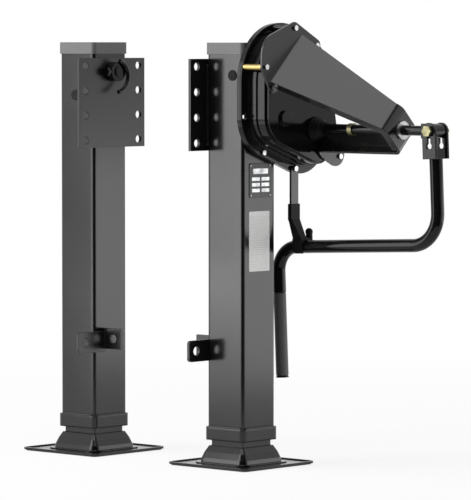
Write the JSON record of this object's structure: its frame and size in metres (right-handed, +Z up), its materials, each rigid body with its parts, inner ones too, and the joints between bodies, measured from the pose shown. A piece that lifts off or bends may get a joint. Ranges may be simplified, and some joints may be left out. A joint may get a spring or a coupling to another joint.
{
  "type": "semi trailer landing gear",
  "caption": "Pair of telescoping trailer support legs on square feet: a geared drive leg with a folding hand crank, and a follower leg.",
  "frame": {"origin": "on the ground, at the centre of the underside of the drive leg's foot", "axes": "+Z up; +X outboard from the drive leg, along the crank shaft, away from the follower leg"},
  "size_m": [1.0586, 0.3225, 0.9768],
  "materials": {
    "satin_grey": "satin dark grey paint",
    "gloss_black": "gloss black paint",
    "cap_grey": "light grey paint",
    "bare_steel": "oiled steel",
    "bronze": "turned bronze",
    "white_zinc": "bright zinc plate",
    "yellow_zinc": "yellow zinc plate",
    "rubber_black": "matt rubber",
    "grip_plastic": "matt plastic sleeve"
  },
  "bodies": {
    "frame": {"drive_outer_tube": "satin_grey", "drive_top_cap": "cap_grey", "drive_mount_plate": "satin_grey", "drive_collar": "satin_grey", "drive_brace_lug": "satin_grey", "drive_bearing_plate": "bare_steel", "drive_thrust_bearing": "bare_steel", "drive_shaft_bushes": "bronze", "drive_tube_plug": "rubber_black", "follower_outer_tube": "satin_grey", "follower_top_cap": "cap_grey", "follower_mount_plate": "satin_grey", "follower_collar": "satin_grey", "follower_brace_lug": "satin_grey", "follower_bearing_plate": "bare_steel", "follower_thrust_bearing": "bare_steel", "follower_shaft_bushes": "bronze", "follower_tube_plug": "rubber_black", "gearbox_pan": "gloss_black", "gearbox_cover": "gloss_black", "gearbox_screws": "white_zinc", "spacer_sleeves": "yellow_zinc", "intermediate_pin": "bare_steel", "shaft_bracket": "satin_grey", "end_bush": "gloss_black", "shaft_boot": "rubber_black", "holder_strap": "satin_grey", "crank_clip": "rubber_black"},
    "drive_output": {"drive_output_shaft": "bare_steel", "drive_bevel_pinion": "bare_steel", "output_gear": "bare_steel"},
    "intermediate": {"intermediate_gears": "bare_steel"},
    "input": {"input_pinion": "bare_steel"},
    "shaft": {"crank_shaft": "gloss_black", "shaft_stop_ring": "yellow_zinc", "clevis_bolt": "yellow_zinc"},
    "crank": {"crank_clevis": "gloss_black", "crank_tube": "gloss_black", "grip_stop": "white_zinc"},
    "grip": {"crank_grip": "grip_plastic"},
    "follower_stub": {"follower_stub_shaft": "bare_steel", "follower_bevel_pinion": "bare_steel", "follower_coupling_sleeve": "gloss_black", "follower_cross_bolt": "gloss_black", "follower_coupling_hook": "gloss_black"},
    "drive_inner_leg": {"drive_inner_tube": "satin_grey", "drive_spindle_nut": "bronze"},
    "drive_foot": {"drive_foot_plate": "gloss_black", "drive_foot_dome": "gloss_black", "drive_foot_pin": "bare_steel"},
    "drive_screw": {"drive_spindle": "bare_steel", "drive_bevel_gear": "bare_steel"},
    "follower_inner_leg": {"follower_inner_tube": "satin_grey", "follower_spindle_nut": "bronze"},
    "follower_foot": {"follower_foot_plate": "gloss_black", "follower_foot_dome": "gloss_black", "follower_foot_pin": "bare_steel"},
    "follower_screw": {"follower_spindle": "bare_steel", "follower_bevel_gear": "bare_steel"}
  },
  "joints": [
    {"name": "drive_leg_extend", "type": "slide", "parent": "frame", "child": "drive_inner_leg", "axis": [0, 0, -1], "range_m": [0, 0.42]},
    {"name": "drive_foot_tilt", "type": "hinge", "parent": "drive_inner_leg", "child": "drive_foot", "pos_m": [0, 0, 0.028], "axis": [0, 1, 0], "range_deg": [-5, 5]},
    {"name": "drive_screw_turn", "type": "hinge", "parent": "frame", "child": "drive_screw", "pos_m": [0, 0, 0.5], "axis": [0, 0, 1], "range_deg": [-20, 18920]},
    {"name": "drive_cross_shaft_turn", "type": "hinge", "parent": "frame", "child": "drive_output", "pos_m": [0, 0, 0.865], "axis": [1, 0, 0], "range_deg": [-20, 37820]},
    {"name": "follower_leg_extend", "type": "slide", "parent": "frame", "child": "follower_inner_leg", "axis": [0, 0, -1], "range_m": [0, 0.42]},
    {"name": "follower_foot_tilt", "type": "hinge", "parent": "follower_inner_leg", "child": "follower_foot", "pos_m": [-0.454, 0, 0.028], "axis": [0, 1, 0], "range_deg": [-5, 5]},
    {"name": "follower_screw_turn", "type": "hinge", "parent": "frame", "child": "follower_screw", "pos_m": [-0.454, 0, 0.5], "axis": [0, 0, 1], "range_deg": [-20, 18920]},
    {"name": "follower_cross_shaft_turn", "type": "hinge", "parent": "frame", "child": "follower_stub", "pos_m": [-0.454, 0, 0.865], "axis": [1, 0, 0], "range_deg": [-37820, 20]},
    {"name": "intermediate_turn", "type": "hinge", "parent": "frame", "child": "intermediate", "pos_m": [0.1, 0.06135, 0.83684], "axis": [1, 0, 0], "range_deg": [-56720, 20]},
    {"name": "input_turn", "type": "hinge", "parent": "frame", "child": "input", "pos_m": [0.1, 0.105, 0.743], "axis": [1, 0, 0], "range_deg": [-20, 187838.75]},
    {"name": "crank_turn", "type": "hinge", "parent": "frame", "child": "shaft", "pos_m": [0.3, 0.105, 0.743], "axis": [1, 0, 0], "range_deg": [0, 180], "deforming": ["crank_clip"]},
    {"name": "crank_fold", "type": "hinge", "parent": "shaft", "child": "crank", "pos_m": [0.465, 0.105, 0.743], "axis": [0, -1, 0], "range_deg": [0, 87.5], "deforming": ["crank_clip"]},
    {"name": "grip_spin", "type": "hinge", "parent": "crank", "child": "grip", "pos_m": [0.02459, 0.105, 0.28435], "axis": [0.0436, 0, -0.999], "continuous": true}
  ],
  "couplings": [
    {"joint": "drive_screw_turn", "follows": "drive_leg_extend", "rad_per_m": 785.4},
    {"joint": "drive_cross_shaft_turn", "follows": "drive_leg_extend", "rad_per_m": 1570.8},
    {"joint": "follower_screw_turn", "follows": "follower_leg_extend", "rad_per_m": 785.4},
    {"joint": "follower_cross_shaft_turn", "follows": "follower_leg_extend", "rad_per_m": -1570.8},
    {"joint": "intermediate_turn", "follows": "drive_leg_extend", "rad_per_m": -2356.2},
    {"joint": "input_turn", "follows": "drive_leg_extend", "rad_per_m": 7804.9}
  ]
}
